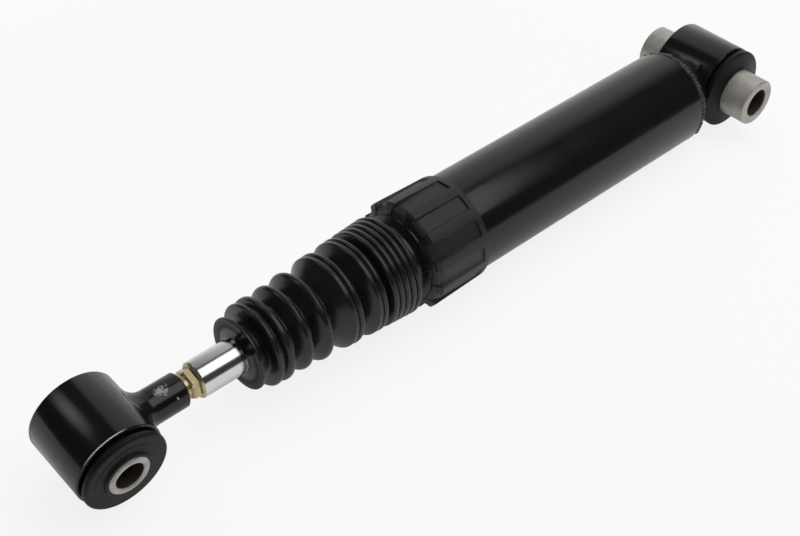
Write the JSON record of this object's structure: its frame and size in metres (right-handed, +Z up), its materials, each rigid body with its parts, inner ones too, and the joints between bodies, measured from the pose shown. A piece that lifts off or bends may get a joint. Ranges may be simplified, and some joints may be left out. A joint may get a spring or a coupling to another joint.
{
  "type": "telescopic shock absorber",
  "caption": "Twin-tube telescopic shock absorber with a rubber-bushed eye at each end, a chromed rod and a ribbed rubber dust gaiter held by a moulded cap.",
  "frame": {"origin": "centre of the body eye's bore", "axes": "+X along the damper from the body eye to the rod eye, +Y along the body eye's bore, +Z up"},
  "size_m": [0.4056, 0.0664, 0.0512],
  "materials": {
    "black_paint": "semi-gloss black paint on steel",
    "sleeve_steel": "matt bare steel",
    "bush_rubber": "matt black rubber",
    "gaiter_rubber": "satin black rubber",
    "cap_plastic": "finely textured black plastic",
    "rod_chrome": "ground hard chrome",
    "inner_steel": "bright drawn and stamped steel",
    "sintered_iron": "sintered iron",
    "guide_bronze": "bronze-lined bush",
    "seal_rubber": "nitrile rubber",
    "band_polymer": "filled polymer"
  },
  "bodies": {
    "damper_body": {"reservoir_tube": "black_paint", "base_cap": "black_paint", "base_cap_weld": "black_paint", "body_eye_ring": "black_paint", "body_eye_weld": "black_paint", "body_eye_weld_lower": "black_paint", "body_eye_bush": "bush_rubber", "pressure_tube": "inner_steel", "base_valve_body": "sintered_iron", "base_valve_discs": "inner_steel", "base_valve_check_disc": "inner_steel", "base_valve_spring": "inner_steel", "base_valve_rivet": "inner_steel", "rod_guide": "sintered_iron", "guide_bush": "guide_bronze", "rod_seal": "seal_rubber", "seal_washer": "inner_steel", "gaiter_cap": "cap_plastic", "gaiter": "gaiter_rubber"},
    "body_sleeve": {"body_eye_sleeve": "sleeve_steel"},
    "piston_band": {"piston_band": "band_polymer"},
    "rod": {"piston_rod": "rod_chrome", "piston": "sintered_iron", "piston_rebound_discs": "inner_steel", "piston_check_disc": "inner_steel", "piston_spring": "inner_steel", "piston_nut": "inner_steel", "rebound_collar": "inner_steel", "rebound_buffer": "seal_rubber", "rod_eye_stem": "black_paint", "rod_eye_weld": "black_paint", "rod_eye_ring": "black_paint", "rod_eye_bush": "bush_rubber"},
    "rod_sleeve": {"rod_eye_sleeve": "sleeve_steel"}
  },
  "joints": [
    {"name": "rod_stroke", "type": "slide", "parent": "damper_body", "child": "piston_band", "axis": [1, 0, 0], "range_m": [-0.06, 0], "deforming": ["gaiter"]},
    {"name": "rod_turn", "type": "hinge", "parent": "piston_band", "child": "rod", "pos_m": [0, 0, 0], "axis": [1, 0, 0], "continuous": true},
    {"name": "body_bush_twist", "type": "hinge", "parent": "damper_body", "child": "body_sleeve", "pos_m": [0, 0, 0], "axis": [0, 1, 0], "range_deg": [-15, 15], "stiffness_Nm_per_rad": 20},
    {"name": "rod_bush_twist", "type": "hinge", "parent": "rod", "child": "rod_sleeve", "pos_m": [0.3663, 0, 0], "axis": [0, 0.9925, -0.1219], "range_deg": [-15, 15], "stiffness_Nm_per_rad": 15}
  ]
}
